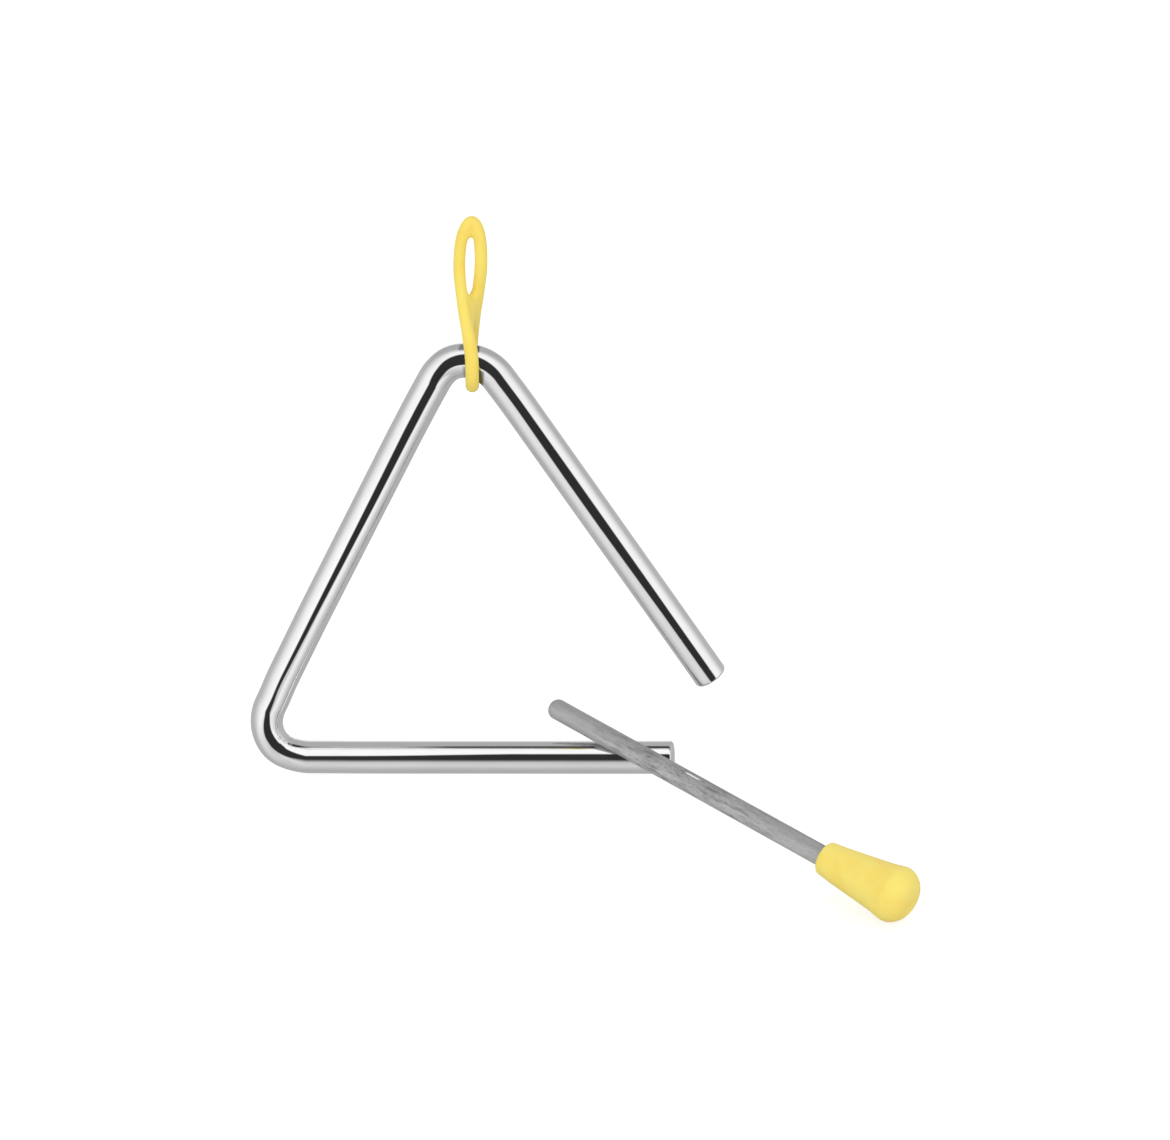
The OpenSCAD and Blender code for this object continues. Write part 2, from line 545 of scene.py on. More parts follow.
def bumped(tree, shader, heights):
    """Chains bumps of (height, strength, distance) on the shader's normal."""
    normal = None
    for height, strength, distance in heights:
        bump = tree.nodes.new("ShaderNodeBump")
        bump.inputs["Strength"].default_value = strength
        bump.inputs["Distance"].default_value = distance
        tree.links.new(height, bump.inputs["Height"])
        if normal is not None:
            tree.links.new(normal, bump.inputs["Normal"])
        normal = bump.outputs["Normal"]
    tree.links.new(normal, shader.inputs["Normal"])


def plating_material(base):
    """Polished plating: a mirror with a faint ripple, drawn lines, specks and smudges."""
    material, tree, shader = new_material("polished_plating", base, Metallic=1.0)
    place = place_node(tree, "along")
    ripple = noise_node(tree, place, (70, 240, 240), 3)
    drawn = noise_node(tree, place, (260, 2400, 2400), 3)
    speck = noise_node(tree, place, (900, 1100, 1100), 2)
    smudge = noise_node(tree, place, (55, 170, 170), 4, 0.6)
    rough = ranged(tree, smudge, 0.42, 0.72, 0.035, 0.10)
    tree.links.new(rough, shader.inputs["Roughness"])
    tint = ranged(tree, smudge, 0.35, 0.75, 0.0, 1.0)
    darker = tuple(c * 0.96 for c in base)
    tree.links.new(mixed(tree, tint, base, darker), shader.inputs["Base Color"])
    pits = ranged(tree, speck, 0.70, 0.76, 1, 0)
    bumped(tree, shader, [(ripple, 0.5, 0.00006), (drawn, 0.15, 0.00001), (pits, 0.4, 0.00002)])
    return material


# Where the rod's mottling sets in, is full and fades from and to, along the rod
MOTTLED = (0.010, 0.030, 0.045, 0.080)
LEAST_MOTTLED = (0.2, 0.3)
# The painted glint, a white patch that stands in for a highlight: where it sets in, is full and
# fades from and to, along and across the rod
GLINT_ALONG = (0.0415, 0.0428, 0.0452, 0.0470)
GLINT_ACROSS = (0.00010, 0.00025, 0.00050, 0.00070)


def zinc_material(base):
    """Dull zinc on drawn wire: streaked along the rod, mottled most in its middle, with
    painted shade on its upper side and a painted glint, a white patch, in one place."""
    material, tree, shader = new_material("dull_zinc", base, Metallic=0.3)
    place = place_node(tree, "along")
    streak = noise_node(tree, place, (60, 1200, 1200), 5, 0.6)
    mottle = noise_node(tree, place, (210, 1100, 1100), 5, 0.7)
    grain = noise_node(tree, place, (1100, 3000, 3000), 3, 0.7)
    split = tree.nodes.new("ShaderNodeSeparateXYZ")
    tree.links.new(place, split.inputs[0])
    run, aside, above = split.outputs["X"], split.outputs["Y"], split.outputs["Z"]

    def within(value, rise, full, ease, stop):
        up = ranged(tree, value, rise, full, 0, 1)
        return product(tree, up, ranged(tree, value, ease, stop, 1, 0))

    worn = ranged(tree, run, *MOTTLED[:2], LEAST_MOTTLED[0], 1.0)
    worn_out = ranged(tree, run, *MOTTLED[2:], 1, LEAST_MOTTLED[1])
    worn = product(tree, worn, worn_out)
    dark = tuple(c * 0.52 for c in base)
    pale = tuple(min(1, c * 1.22) for c in base)
    shade = mixed(tree, ranged(tree, streak, 0.38, 0.62, 0.0, 0.8), base, pale)
    patch = product(tree, ranged(tree, mottle, 0.45, 0.66, 0, 1), worn)
    shade = mixed(tree, patch, shade, dark)
    fleck = product(tree, ranged(tree, grain, 0.5, 0.72, 0, 0.9), worn)
    shade = mixed(tree, fleck, shade, dark)
    # Painted shade: the rod's upper side is darkened, as the light falls on it
    upper_shade = ranged(tree, above, 0.0002, 0.0019, 0, 0.2)
    shade = mixed(tree, upper_shade, shade, (0.03, 0.03, 0.03))
    # Painted glint: the base colour turns white in a small patch on the rod's upper side, in
    # place of a highlight
    painted_glint = product(tree, within(run, *GLINT_ALONG), within(aside, *GLINT_ACROSS))
    painted_glint = product(tree, painted_glint, ranged(tree, above, 0.0, 0.001, 0, 1))
    shade = mixed(tree, painted_glint, shade, (1.0, 1.0, 1.0))
    tree.links.new(shade, shader.inputs["Base Color"])
    tree.links.new(ranged(tree, mottle, 0.35, 0.7, 0.38, 0.55), shader.inputs["Roughness"])
    bumped(tree, shader, [(streak, 0.3, 0.00008), (mottle, 0.25, 0.0001), (grain, 0.2, 0.00004)])
    return material


def vinyl_material(name, base):
    """Soft moulded vinyl: slightly translucent, with faint clouding and a fine matt skin."""
    material, tree, shader = new_material(
        name, base, Subsurface_Weight=0.18, Subsurface_Scale=0.002, Specular_IOR_Level=0.4
    )
    shader.inputs["Subsurface Radius"].default_value = (1.0, 0.7, 0.25)
    place = place_node(tree, None)
    cloud = noise_node(tree, place, (160, 160, 160), 3)
    skin = noise_node(tree, place, (2600, 2600, 2600), 3, 0.6)
    dimple = noise_node(tree, place, (420, 420, 420), 2)
    warm = (base[0], base[1] * 0.93, base[2] * 0.82)
    shade = mixed(tree, ranged(tree, cloud, 0.4, 0.7, 0, 1), base, warm)
    tree.links.new(shade, shader.inputs["Base Color"])
    tree.links.new(ranged(tree, dimple, 0.3, 0.7, 0.38, 0.52), shader.inputs["Roughness"])
    bumped(tree, shader, [(dimple, 0.12, 0.0001), (skin, 0.1, 0.00002)])
    return material


# What the camera sees of the floor: its own light, and the colour that takes the lamps' light
FLOOR_GLOW, FLOOR_SHADE = 0.72, (0.42, 0.42, 0.42, 1)


def floor_material(base):
    """A pale floor that shows white round the object and keeps a soft shadow under it."""
    material, tree, shader = new_material("pale_floor", base, Roughness=0.9)
    shader.inputs["Specular IOR Level"].default_value = 0.1
    path = tree.nodes.new("ShaderNodeLightPath")
    soft = tree.nodes.new("ShaderNodeBsdfDiffuse")
    soft.inputs["Color"].default_value = FLOOR_SHADE
    both = tree.nodes.new("ShaderNodeAddShader")
    tree.links.new(glow(tree, FLOOR_GLOW), both.inputs[0])
    tree.links.new(soft.outputs[0], both.inputs[1])
    show_mix(tree, path.outputs["Is Camera Ray"], shader.outputs[0], both.outputs[0])
    return material


def glow(tree, strength):
    node = tree.nodes.new("ShaderNodeEmission")
    node.inputs["Color"].default_value = (1, 1, 1, 1)
    node.inputs["Strength"].default_value = strength
    return node.outputs[0]


def show_mix(tree, *sockets):
    """Makes the surface a mix by a factor between two shaders."""
    mix = tree.nodes.new("ShaderNodeMixShader")
    for value, socket in zip(sockets, mix.inputs):
        tree.links.new(value, socket)
    tree.links.new(mix.outputs[0], tree.nodes["Material Output"].inputs["Surface"])


# Operators, one for each piece and one for the stage


class MakeBar(Operator):
    """Builds the bent bar with its two flat cuts"""

    bl_idname = "triangle.make_bar"
    bl_label = "Bar"

    def execute(self, context):
        bar, loop = context.scene.triangle_bar, context.scene.triangle_loop
        sides = 72
        radius = bar.diameter / 2
        line = bar_line(bar, bend_centre(bar, loop))
        steps = rim_steps(bar.rim, 9)
        first, last = line[0], line[-1]
        forward = (line[1][0] - first[0]).normalized()
        onward = (last[0] - line[-2][0]).normalized()
        stations = [(first[0] + forward * s, first[1], s, radius - i) for s, i in steps]
        stations += [(*station, radius) for station in line[1:-1]]
        stations += [
            (last[0] - onward * s, last[1], last[2] - s, radius - i) for s, i in reversed(steps)
        ]
        beside = Vector((0, 1, 0))
        rings, places = [], []
        for point, outward, run, r in stations:
            ring, place = [], []
            for j in range(sides):
                a = 2 * math.pi * j / sides
                fold = bar.pucker * folded(run, a)
                x, y = (r - fold) * math.cos(a), (r - fold) * math.sin(a)
                ring.append(point + outward * x + beside * y)
                place.append((run, x, y))
            rings.append(ring)
            places.append(place)
        mesh = tube_mesh("bar", rings, places)
        mesh.materials.append(plating_material(tuple(bar.plating)))
        make_object("bar", mesh, "triangle", "triangle_bar")
        return {"FINISHED"}


# The inner side of the lower bend is a little flattened, and three or four small folds cross
# it near its end. Each row is a place along the bar, a reach and a share of the full depth.
FLAT = (0.2165, 0.005, 0.9)
FOLDS = (0.2185, 0.0024, 0.3)
FOLD_SPACING, FOLD_SLANT = 0.0019, 1.3


def folded(run, a):
    """Depth of the folds at a place along the bar and an angle round it, as a share."""
    inner = max(0.0, -math.cos(a))
    flat = hump(run, *FLAT[:2]) * inner**2
    near = hump(run, *FOLDS[:2]) * inner**5
    ripple = math.cos(2 * math.pi * run / FOLD_SPACING + FOLD_SLANT * math.sin(2 * a))
    return FLAT[2] * flat + FOLDS[2] * near * ripple


# Distance between the points of the loop's line and between those of its skin
CORD_STEP = 0.0002


class MakeLoop(Operator):
    """Builds the soft loop with its quarter twist"""

    bl_idname = "triangle.make_loop"
    bl_label = "Loop"

    def execute(self, context):
        bar, loop = context.scene.triangle_bar, context.scene.triangle_loop
        line = evened(loop_line(loop, bar), CORD_STEP, 20)
        thick = loop.diameter / 2 + cord_swell(line, loop)
        raws = [cord_mesh(line, thick + loop.web, 20, True)]
        for path, radii in web_paths(loop, bar):
            raws.append(cord_mesh(path, radii + loop.web, 16, False))
        mesh = fused(raws, line, thick, loop.web)
        turn = math.cos(LOOP_TURN), math.sin(LOOP_TURN)
        points = np.array([v.co for v in mesh.vertices])
        placed = np.stack(
            [
                points[:, 0] * turn[0] - points[:, 1] * turn[1] + LOOP_CENTRE.x,
                points[:, 0] * turn[1] + points[:, 1] * turn[0] + LOOP_CENTRE.y,
                points[:, 2] + LOOP_CENTRE.z,
            ],
            axis=1,
        )
        mesh.vertices.foreach_set("co", placed.astype(np.float32).ravel())
        mesh.update()
        mesh.materials.append(vinyl_material("soft_vinyl_loop", tuple(loop.vinyl)))
        make_object("loop", mesh, "loop", "hanging_loop")
        return {"FINISHED"}


# The height above the lower turn that the swelling round the bar reaches, and over how much
# height it fades there. Then where the one on the eye's right side sets in, and over how much
# height and how far to the right it grows full.
LOW_SWELL = (0.011, 0.007)
EYE_SWELL = (0.012, 0.006, 0.0012)


def cord_swell(line, loop):
    """How much thicker than its nominal radius the cord is at each point of its line."""
    reach, fade = LOW_SWELL
    start, grow, aside = EYE_SWELL
    near_bar = np.clip((reach - line[:, 2]) / fade, 0, 1)
    in_eye = np.clip((line[:, 2] - start) / grow, 0, 1) * np.clip(line[:, 0] / aside, 0, 1)
    return loop.swell * near_bar**2 * (3 - 2 * near_bar) + loop.swell / 2 * in_eye


# The webs of the loop: how high above the lower turn the lower one starts, how much farther
# its start and the free edges reach beside the strands, and over how much each edge thins
WEB_START = 0.0085
START_ARCH, EDGE_ARCH = 0.022, 0.014
WEB_EDGE, THINNEST = 0.0016, 0.05
WEB_PARTS, WEB_STEPS = 15, 44


def web_paths(loop, bar):
    """Lines between the two strands that a soft web fills, with its radius at each point:
    one web below the crotch and one under the top of the eye. Both reach farther beside
    the strands than in the middle, so that their free edges are arches."""
    arms = [np.array([list(p) for p in arm]) for arm in loop_arms(loop, bar)]
    top = loop.twist + loop.eye
    for part in np.linspace(0.1, 0.9, WEB_PARTS):
        arch = (part - 0.5) ** 2
        for start, stop in (
            (WEB_START - START_ARCH * arch, loop.web_low + EDGE_ARCH * arch),
            (top, top - loop.web_top - EDGE_ARCH * arch),
        ):
            heights = np.linspace(start, stop, WEB_STEPS)
            ends = [
                np.stack([np.interp(heights, arm[:, 2], arm[:, k]) for k in range(3)], 1)
                for arm in arms
            ]
            to_edge = np.minimum(np.abs(heights - start), np.abs(heights - stop))
            radii = loop.web_thick * np.sqrt(np.clip(to_edge / WEB_EDGE, THINNEST, 1))
            yield ends[0] + (ends[1] - ends[0]) * part, radii


def cord_mesh(line, thick, sides, closed):
    """A tube round a line, with its own thickness at each point."""
    if closed:
        ahead = np.roll(line, -1, 0) - np.roll(line, 1, 0)
    else:
        ahead = np.gradient(line, axis=0)
    ahead /= np.linalg.norm(ahead, axis=1)[:, None]
    side = np.cross(ahead[0], [1.0, 0.0, 0.0])
    angles = np.linspace(0, 2 * math.pi, sides, endpoint=False)
    rings = []
    for point, way_on, r in zip(line, ahead, thick):
        side = side - way_on * (side @ way_on)
        side /= np.linalg.norm(side)
        other = np.cross(way_on, side)
        ring = [point + r * (math.cos(a) * side + math.sin(a) * other) for a in angles]
        rings.append([Vector(p) for p in ring])
    return tube_mesh("loop_raw", rings, [[(0, 0, 0)] * sides] * len(rings), closed=closed)


def fused(raws, line, thick, web):
    """One skin over tubes that were drawn too thick by the radius web. The skin is drawn
    back as much, which rounds each crotch where strands meet."""
    shape = bmesh.new()
    for raw in raws:
        shape.from_mesh(raw)
    whole = bpy.data.meshes.new("loop_whole")
    shape.to_mesh(whole)
    shape.free()
    body = linked("loop_whole", whole)
    remesh = body.modifiers.new("skin", "REMESH")
    remesh.mode = "VOXEL"
    remesh.voxel_size = CORD_STEP
    ease = body.modifiers.new("ease", "SMOOTH")
    ease.factor = 0.5
    ease.iterations = 8
    depsgraph = bpy.context.evaluated_depsgraph_get()
    mesh = bpy.data.meshes.new_from_object(body.evaluated_get(depsgraph))
    bpy.data.objects.remove(body)
    for used in (whole, *raws):
        bpy.data.meshes.remove(used)
    tree = KDTree(len(line))
    for k, point in enumerate(line):
        tree.insert(point, k)
    tree.balance()
    for vert, normal in zip(mesh.vertices, [n.vector.copy() for n in mesh.vertex_normals]):
        point = vert.co - normal * web
        centre, k, away = tree.find(point)
        if away < thick[k]:
            point = centre + (point - centre) * (thick[k] / away)
        vert.co = point
    mesh.polygons.foreach_set("use_smooth", [True] * len(mesh.polygons))
    mesh.name = "loop"
    mesh.update()
    return mesh


class MakeRod(Operator):
    """Builds the striker's rod with its rounded tip"""

    bl_idname = "triangle.make_rod"
    bl_label = "Striker rod"

    def execute(self, context):
        striker = context.scene.triangle_striker
        radius, rim = striker.rod / 2, striker.tip_round
        total = striker.rod_out + striker.rod_in
        outline = [((radius - rim) * 0.5, 0)]
        outline += arc_outline((radius - rim, rim), rim, -90, 0, 12)
        outline += [(radius, h) for h in np.linspace(rim, total, 100)[1:]]
        way_on = direction(striker.heading, -striker.slope)
        mesh = turned_mesh("rod", outline, Vector(striker.tip), way_on, sides=64)
        mesh.materials.append(zinc_material(tuple(striker.steel)))
        make_object("rod", mesh, "striker", "striker_rod")
        return {"FINISHED"}


class MakeGrip(Operator):
    """Builds the flared grip on the rod"""

    bl_idname = "triangle.make_grip"
    bl_label = "Striker grip"

    def execute(self, context):
        striker, stage = context.scene.triangle_striker, context.scene.triangle_stage
        way_on = direction(striker.heading, -striker.slope)
        start = Vector(striker.tip) + way_on * striker.rod_out
        mesh = turned_mesh("grip", grip_outline(striker), start, way_on, sides=96)
        aside = way_on.cross(toward_viewer(stage)).normalized()
        straight = striker.grip / 5
        for vert in mesh.vertices:
            past = (vert.co - start).dot(way_on) - straight
            vert.co -= aside * (striker.askew * max(0.0, past))
        mesh.update()
        mesh.materials.append(vinyl_material("soft_vinyl_grip", tuple(striker.vinyl)))
        make_object("grip", mesh, "striker", "striker_grip")
        return {"FINISHED"}


# Where the grip flares and over what reach, as shares of its length
FLARE_AT, FLARE_REACH = 0.82, 0.11


def grip_outline(striker):
    """Outline of the grip from inside its mouth, over the lip and side to the far end."""
    mouth = (striker.mouth / 2 - striker.mouth_round, striker.mouth_round)
    far = (striker.end / 2 - striker.end_round, striker.grip - striker.end_round)
    span = math.hypot(far[0] - mouth[0], far[1] - mouth[1])
    lean = math.atan2(far[0] - mouth[0], far[1] - mouth[1]) + math.asin(
        (striker.end_round - striker.mouth_round) / span
    )
    bore = striker.rod / 2
    outline = [(bore, striker.mouth_round * 3), (bore, striker.mouth_round * 0.6)]
    outline += arc_outline(mouth, striker.mouth_round, -110, -math.degrees(lean), 12)
    end = arc_outline(far, striker.end_round, -math.degrees(lean), 90, 28)
    start = outline[-1]
    outline += [
        (start[0] + (end[0][0] - start[0]) * k / 40, start[1] + (end[0][1] - start[1]) * k / 40)
        for k in range(1, 40)
    ]
    outline += end + [(far[0] * k / 6, striker.grip) for k in (5, 4, 3, 2, 1)]
    shaped = []
    for r, h in outline:
        flare = striker.lip * hump(h, FLARE_AT * striker.grip, FLARE_REACH * striker.grip)
        rise = striker.dome * max(0.0, 1 - (r / (striker.end / 2)) ** 2)
        shaped.append((r + flare * min(1.0, h / far[1]), h + (rise if h > far[1] else 0)))
    return shaped


class MakeStage(Operator):
    """Builds the floor, the lamps, the surroundings and the camera"""

    bl_idname = "triangle.make_stage"
    bl_label = "Stage"

    def execute(self, context):
        stage = context.scene.triangle_stage
        make_floor(tuple(stage.floor))
        make_lamps()
        make_world(stage.fill, direction(stage.turn - math.pi / 2, 0))
        make_cards(context.scene.triangle_bar, context.scene.triangle_loop, stage)
        make_camera(stage)
        context.scene.view_settings.view_transform = "Standard"
        return {"FINISHED"}


def make_floor(base):
    mesh = bpy.data.meshes.new("floor")
    shape = bmesh.new()
    bmesh.ops.create_grid(shape, x_segments=1, y_segments=1, size=6)
    shape.to_mesh(mesh)
    shape.free()
    mesh.materials.append(floor_material(base))
    floor = linked("floor", mesh)
    floor.location.z = FLOOR_Z - 0.00005
    floor.visible_glossy = False
    floor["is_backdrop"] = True


# Name, place, size in metres and power in watts
LAMPS = (
    ("key", (-0.45, -0.85, 0.40), 0.5, 2.5),
    ("side", (0.75, -0.60, 0.20), 0.6, 1.4),
    ("back", (0.1, 0.8, 0.7), 0.6, 0.8),
)
LAMP_AIM = Vector((0.03, 0, -0.09))


def make_lamps():
    for name, place, size, power in LAMPS:
        data = bpy.data.lights.new(name, "AREA")
        data.size = size
        data.energy = power
        lamp = linked(name, data)
        lamp.location = place
        lamp.rotation_mode = "QUATERNION"
        lamp.rotation_quaternion = (LAMP_AIM - lamp.location).to_track_quat("-Z", "Y")
        lamp.visible_glossy = False


# The room that polished pieces mirror is white in front and greys towards the back, sooner
# below than above. Each row is how far up the row holds, as the sine of the angle round the
# level line that points at the viewer, the level in front, the angles from that line between
# which it greys, in degrees, and the level that it greys to.
ROOM = (
    (-1.0, 0.72, 8, 91, 0.45),
    (-0.5, 1.05, 42, 97, 0.48),
    (0.0, 1.02, 58, 118, 0.51),
    (0.5, 0.95, 64, 127, 0.42),
    (1.0, 1.04, 77, 112, 0.44),
)
# Behind, it whitens again between these angles
BACK = (157, 176, 0.85)
# Low on the right it stays light up to these angles. LOW is how far up the light fades, on
# the scale of the rows of the room, and RIGHTWARD how far to the right it sets in.
LOW_RIGHT = (42, 69, 0.95)
LOW = (-0.75, -0.55)
RIGHTWARD = (-0.02, 0.12)


def make_world(fill, facing):
    """White for the camera, even light for matt surfaces, and for polished ones the room."""
    world = bpy.data.worlds.new("surroundings")
    bpy.context.scene.world = world
    world.use_nodes = True
    tree = world.node_tree
    path = tree.nodes.new("ShaderNodeLightPath")
    where = tree.nodes.new("ShaderNodeTexCoord").outputs["Generated"]
    upright = facing.cross(Vector((0, 0, 1)).cross(facing)).normalized()

    def along(axis):
        node = tree.nodes.new("ShaderNodeVectorMath")
        node.operation = "DOT_PRODUCT"
        tree.links.new(where, node.inputs[0])
        node.inputs[1].default_value = axis
        return node.outputs["Value"]

    ahead = along(facing)
    off = math_node(tree, "ARCCOSINE", ahead)
    aside = math_node(tree, "SUBTRACT", 1.0, product(tree, ahead, ahead))
    aside = math_node(tree, "SQRT", math_node(tree, "MAXIMUM", aside, 1e-6))
    up = math_node(tree, "DIVIDE", along(upright), aside)

    def greyed(level, start, stop, to_level):
        return ranged(tree, off, math.radians(start), math.radians(stop), level, to_level)

    room = greyed(*ROOM[0][1:])
    for below, row in zip(ROOM, ROOM[1:]):
        share_up = ranged(tree, up, below[0], row[0], 0, 1, False)
        room = mixed(tree, share_up, room, greyed(*row[1:]))
    light = product(tree, greyed(1, *LOW_RIGHT[:2], 0), ranged(tree, up, *LOW, 1, 0))
    rightward = along(Vector((0, 0, 1)).cross(facing).normalized())
    light = product(tree, light, ranged(tree, rightward, *RIGHTWARD, 0, 1))
    room = mixed(tree, light, room, LOW_RIGHT[2:] * 3)
    room = mixed(tree, greyed(0, *BACK[:2], 1), room, BACK[2:] * 3)
    seen = mixed(tree, path.outputs["Is Glossy Ray"], (fill, fill, fill), room)
    seen = mixed(tree, path.outputs["Is Camera Ray"], seen, (1, 1, 1))
    tree.links.new(seen, tree.nodes["Background"].inputs["Color"])


# Where the dark card shows in the bar: a place along it, the inner and outer edge of the
# dark band there, as shares of the bar's radius, how soft its outer edge is, and how dark
# the veil beyond it.
BAND = (
    (0.0000, -0.205, 0.195, 0.0, 0.0),
    (0.0200, -0.220, 0.205, 0.0, 0.0),
    (0.0480, -0.290, 0.230, 0.0, 0.0),
    (0.0620, -0.285, 0.240, 0.0, 0.0),
    (0.0800, -0.234, 0.240, 0.0, 0.0),
    (0.0905, -0.240, 0.240, 0.0, 0.0),
    (0.0985, -0.265, 0.360, 0.0, 0.0),
    (0.1040, -0.290, 0.230, 0.0, 0.0),
    (0.1080, -0.298, 0.165, 0.0, 0.0),
    (0.1200, -0.304, 0.165, 0.0, 0.0),
    (0.1420, -0.285, 0.123, 0.0, 0.0),
    (0.1780, -0.180, 0.088, 0.0, 0.0),
    (0.2000, -0.068, 0.117, 0.0, 0.0),
    (0.2045, -0.140, 0.118, 0.0, 0.0),
    (0.2075, -0.235, 0.110, 0.0, 0.0),
    (0.2130, -0.250, 0.270, 0.0, 0.08),
    (0.2175, -0.290, 0.290, 0.2, 0.22),
    (0.2220, -0.140, 0.330, 0.6, 0.24),
    (0.2260, -0.058, 0.300, 1.0, 0.05),
    (0.2500, -0.098, 0.295, 1.0, 0.02),
    (0.2770, -0.193, 0.300, 1.0, 0.02),
    (0.3160, -0.193, 0.300, 1.0, 0.02),
)
# The same for the thin card over the lower side, with its darkness in the last column
LINE = (
    (0.2195, -0.560, -0.530, 0.0),
    (0.2215, -0.610, -0.490, 1.0),
    (0.2235, -0.610, -0.500, 1.0),
    (0.2280, -0.610, -0.560, 0.35),
    (0.2340, -0.620, -0.580, 0.0),
    (0.2470, -0.630, -0.590, 0.0),
    (0.2620, -0.650, -0.550, 0.85),
    (0.3160, -0.655, -0.545, 0.95),
)
# Half the blur of an edge, and how wide the veil is, as shares of the bar's radius
EDGE, VEIL_WIDE = 0.03, 0.45
# How a soft edge fades outwards: offsets from the edge, for a hard and a soft one, and how
# dark a soft one still is there
SOFT_EDGE = ((0.031, -0.03, 0.52), (0.032, 0.03, 0.35), (0.033, 0.10, 0.20), (0.034, 0.20, 0.0))


def band_rows(run):
    """Places across the bar, as shares of its radius, and how dark the card is there."""
    inner, outer, soft, veil = table_at(BAND, run)
    return (
        (inner - EDGE, 0.0),
        (inner + EDGE, 1.0),
        (outer - EDGE - 0.12 * soft, 1.0),
        (outer + EDGE - 0.13 * soft, 0.88 * soft),
        *((outer + hard + more * soft, max(veil, dark * soft)) for hard, more, dark in SOFT_EDGE),
        (outer + VEIL_WIDE, 0.0),
    )


def line_rows(run):
    """The same for the thin card."""
    inner, outer, dark = table_at(LINE, run)
    return ((inner - 0.04, 0.0), (inner + 0.01, dark), (outer - 0.01, dark), (outer + 0.04, 0.0))


# Beside the loop a dark card stands in for the shaded side of its cord, so that the bar shows a
# painted reflection of that shade: a place to the right of the bend's highest point, and how
# dark the bar's inner and its outer side are there.
BESIDE_LOOP = (
    (-0.0016, 0.00, 0.00),
    (-0.0013, 0.00, 0.55),
    (-0.0004, 0.00, 0.60),
    (0.0001, 0.50, 0.50),
    (0.0022, 0.85, 0.90),
    (0.0029, 0.85, 0.90),
    (0.0032, 0.85, 0.00),
    (0.0039, 0.75, 0.00),
    (0.0044, 0.00, 0.00),
)
# Where the card beside the loop starts and stops along the bar, and the bend's highest point
BESIDE_FROM, BESIDE_TO, BEND_TOP = 0.0890, 0.1020, 0.0984
# The bar's radius as a share of the bend's
BAR_TO_BEND = 0.44
INNER_SIDE = (-0.99, -0.97, -0.93, -0.88, -0.80, -0.70, -0.60, -0.50, -0.38)
OUTER_SIDE = (0.62, 0.70, 0.80, 0.88, 0.93)


def beside_rows(run):
    """The same for the card beside the loop. Round the bend the bar's inner side is shorter
    than its outer one."""

    def dark(across, column):
        return table_at(BESIDE_LOOP, (BEND_TOP - run) * (1 + BAR_TO_BEND * across))[column]

    inner = [(across, dark(across, 0)) for across in INNER_SIDE]
    outer = [(across, dark(across, 1)) for across in OUTER_SIDE]
    return (*inner, (-0.30, 0.0), (0.54, 0.0), *outer)


def mirrored(eye, point, outward, ahead, radius, across, reach):
    """The place, reach away, that the eye sees in the bar at a share of its width."""
    square = eye - point
    square = (square - ahead * square.dot(ahead)).normalized()
    beside = ahead.cross(square)
    if beside.dot(outward) < 0:
        beside.negate()
    normal = beside * across + square * math.sqrt(1 - across**2)
    surface = point + normal * radius
    back = (eye - surface).normalized()
    return surface + (normal * (2 * normal.dot(back)) - back) * reach


def lengthened(line, by, count):
    """The bar's line carried on straight past both of its cuts."""
    first, last = line[0], line[-1]
    back = (first[0] - line[1][0]).normalized() * by
    on = (last[0] - line[-2][0]).normalized() * by
    before = [(first[0] + back * k, first[1], first[2] - by * k) for k in range(count, 0, -1)]
    after = [(last[0] + on * k, last[1], last[2] + by * k) for k in range(1, count + 1)]
    return before + line + after


def make_card(name, eye, line, radius, rows_at, reach, first_run, last_run):
    """A dark card in front of the bar that only polished pieces mirror."""
    points, faces, cover = [], [], []
    kept = [k for k in range(1, len(line) - 1) if first_run <= line[k][2] <= last_run]
    for k in kept:
        point, outward, run = line[k]
        ahead = (line[k + 1][0] - line[k - 1][0]).normalized()
        rows = rows_at(run)
        for across, dark in rows:
            points.append(mirrored(eye, point, outward, ahead, radius, across, reach))
            cover.append(dark)
    wide = len(rows)
    for k in range(len(kept) - 1):
        for j in range(wide - 1):
            a = k * wide + j
            faces.append((a, a + 1, a + 1 + wide, a + wide))
    mesh = bpy.data.meshes.new(name)
    mesh.from_pydata([tuple(p) for p in points], [], faces)
    shade = mesh.attributes.new("cover", "FLOAT", "POINT")
    shade.data.foreach_set("value", cover)
    mesh.materials.append(card_material(name))
    mesh.update()
    card = linked(name, mesh)
    card.visible_camera = card.visible_diffuse = card.visible_shadow = False
    card.visible_transmission = card.visible_volume_scatter = False
    card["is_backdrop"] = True


# The little light that the cards give off, which keeps their reflections off pure black
CARD_GLOW = 0.028


def card_material(name):
    material = bpy.data.materials.new(name)
    material.use_nodes = True
    tree = material.node_tree
    cover = tree.nodes.new("ShaderNodeAttribute")
    cover.attribute_name = "cover"
    clear = tree.nodes.new("ShaderNodeBsdfTransparent")
    show_mix(tree, cover.outputs["Fac"], clear.outputs[0], glow(tree, CARD_GLOW))
    return material


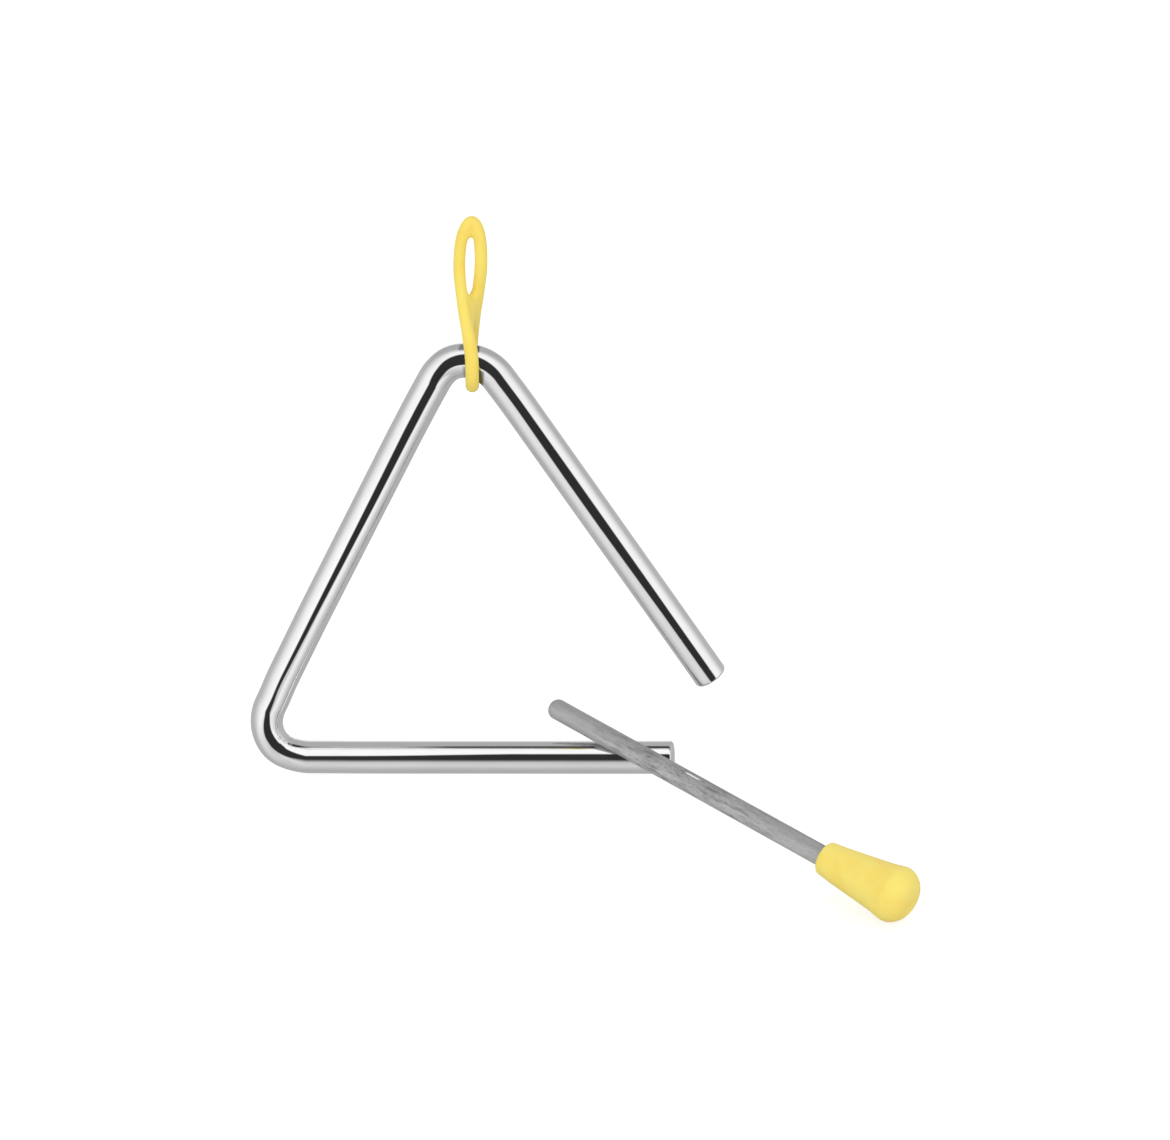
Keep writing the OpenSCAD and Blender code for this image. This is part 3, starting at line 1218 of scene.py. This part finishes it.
def make_cards(bar, loop, stage):
    line = lengthened(bar_line(bar, bend_centre(bar, loop)), 0.001, 5)
    eye = viewpoint(stage)
    # The loop card is a dark sheet beside the loop that gives the bar a painted reflection of the
    # cord's shade
    for name, rows_at, reach, first_run, last_run in (
        ("front_card", band_rows, stage.card, -1, 1),
        ("over_card", line_rows, stage.card, LINE[0][0], 1),
        ("loop_shade_card", beside_rows, loop.slack / 3, BESIDE_FROM, BESIDE_TO),
    ):
        make_card(name, eye, line, bar.diameter / 2, rows_at, reach, first_run, last_run)


def make_camera(stage):
    data = bpy.data.cameras.new("camera")
    data.lens = stage.lens
    data.sensor_width = 36
    data.clip_start, data.clip_end = 0.01, 50
    camera = linked("camera", data)
    camera.location = viewpoint(stage)
    camera.rotation_mode = "QUATERNION"
    camera.rotation_quaternion = (-toward_viewer(stage)).to_track_quat("-Z", "Y")
    bpy.context.scene.camera = camera


MAKERS = (MakeBar, MakeLoop, MakeRod, MakeGrip, MakeStage)
GROUPS = (
    ("triangle_bar", BarSizes),
    ("triangle_loop", LoopSizes),
    ("triangle_striker", StrikerSizes),
    ("triangle_stage", StageSizes),
)


class TrianglePanel(Panel):
    """Lists the pieces and their sizes in the sidebar"""

    bl_idname = "VIEW3D_PT_triangle"
    bl_label = "Triangle"
    bl_space_type = "VIEW_3D"
    bl_region_type = "UI"
    bl_category = "Triangle"

    def draw(self, context):
        for maker in MAKERS:
            self.layout.operator(maker.bl_idname)
        for name, group in GROUPS:
            box = self.layout.box()
            for key in group.__annotations__:
                box.prop(getattr(context.scene, name), key)


def register():
    for name, group in GROUPS:
        bpy.utils.register_class(group)
        setattr(bpy.types.Scene, name, PointerProperty(type=group))
    for shown in (*MAKERS, TrianglePanel):
        bpy.utils.register_class(shown)


def unregister():
    for shown in (TrianglePanel, *reversed(MAKERS)):
        bpy.utils.unregister_class(shown)
    for name, group in reversed(GROUPS):
        delattr(bpy.types.Scene, name)
        bpy.utils.unregister_class(group)


def main():
    register()
    bpy.ops.triangle.make_bar()
    bpy.ops.triangle.make_loop()
    bpy.ops.triangle.make_rod()
    bpy.ops.triangle.make_grip()
    bpy.ops.triangle.make_stage()
    boxes = {"cad": cad_box, "visual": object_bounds()}
    {name: [list(corner) for corner in box] for name, box in boxes.items()}


if __name__ == "__main__":
    main()
